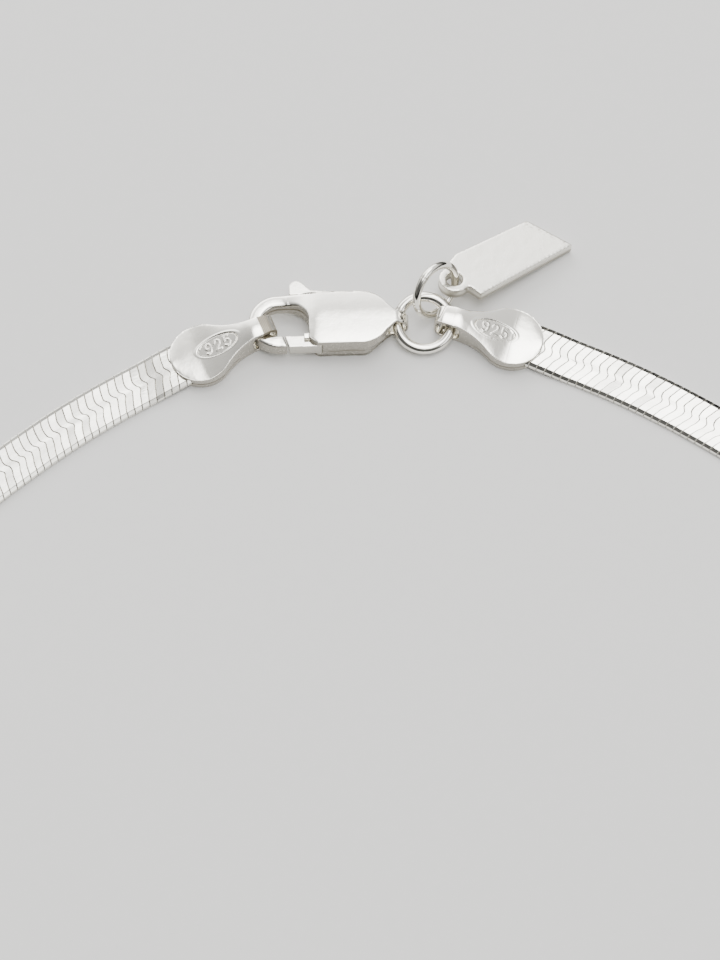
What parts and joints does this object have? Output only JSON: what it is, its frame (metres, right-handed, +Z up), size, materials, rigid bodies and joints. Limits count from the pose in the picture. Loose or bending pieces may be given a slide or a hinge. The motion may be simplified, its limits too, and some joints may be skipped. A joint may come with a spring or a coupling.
{
  "type": "flat herringbone chain necklace",
  "caption": "Flat silver herringbone chain necklace lying closed in a loop, with folded end caps, a lobster clasp and a small plain tag on a jump ring.",
  "frame": {"origin": "the point on the surface that it lies on, in the middle of the part's box", "axes": "+Z up from the surface that the necklace lies on; +Y from the front of the loop to the clasp at the back; +X to the right as a person in front of the loop sees it, the side with the tag"},
  "size_m": [0.1456, 0.1646, 0.005],
  "materials": {
    "woven_silver": "flattened woven silver wire, bright, with fine joints and worn edges",
    "polished_silver": "polished silver with fine scratches",
    "tag_silver": "stamped silver sheet, softly polished, worn at the corners"
  },
  "bodies": {
    "root": {"herringbone_band": "woven_silver", "left_cap": "polished_silver", "right_cap": "polished_silver", "clasp_body": "polished_silver", "clasp_pin": "polished_silver", "clasp_ring": "polished_silver", "tag_ring": "polished_silver", "tag_plate": "tag_silver"},
    "lever": {"clasp_lever": "polished_silver"}
  },
  "joints": [
    {"name": "lever_hinge", "type": "hinge", "parent": "root", "child": "lever", "pos_m": [-0.00198, 0.07193, 0.0012], "axis": [0, 0, -1], "range_deg": [0, 28], "stiffness_Nm_per_rad": 0.0004, "springref_deg": -5.73}
  ]
}
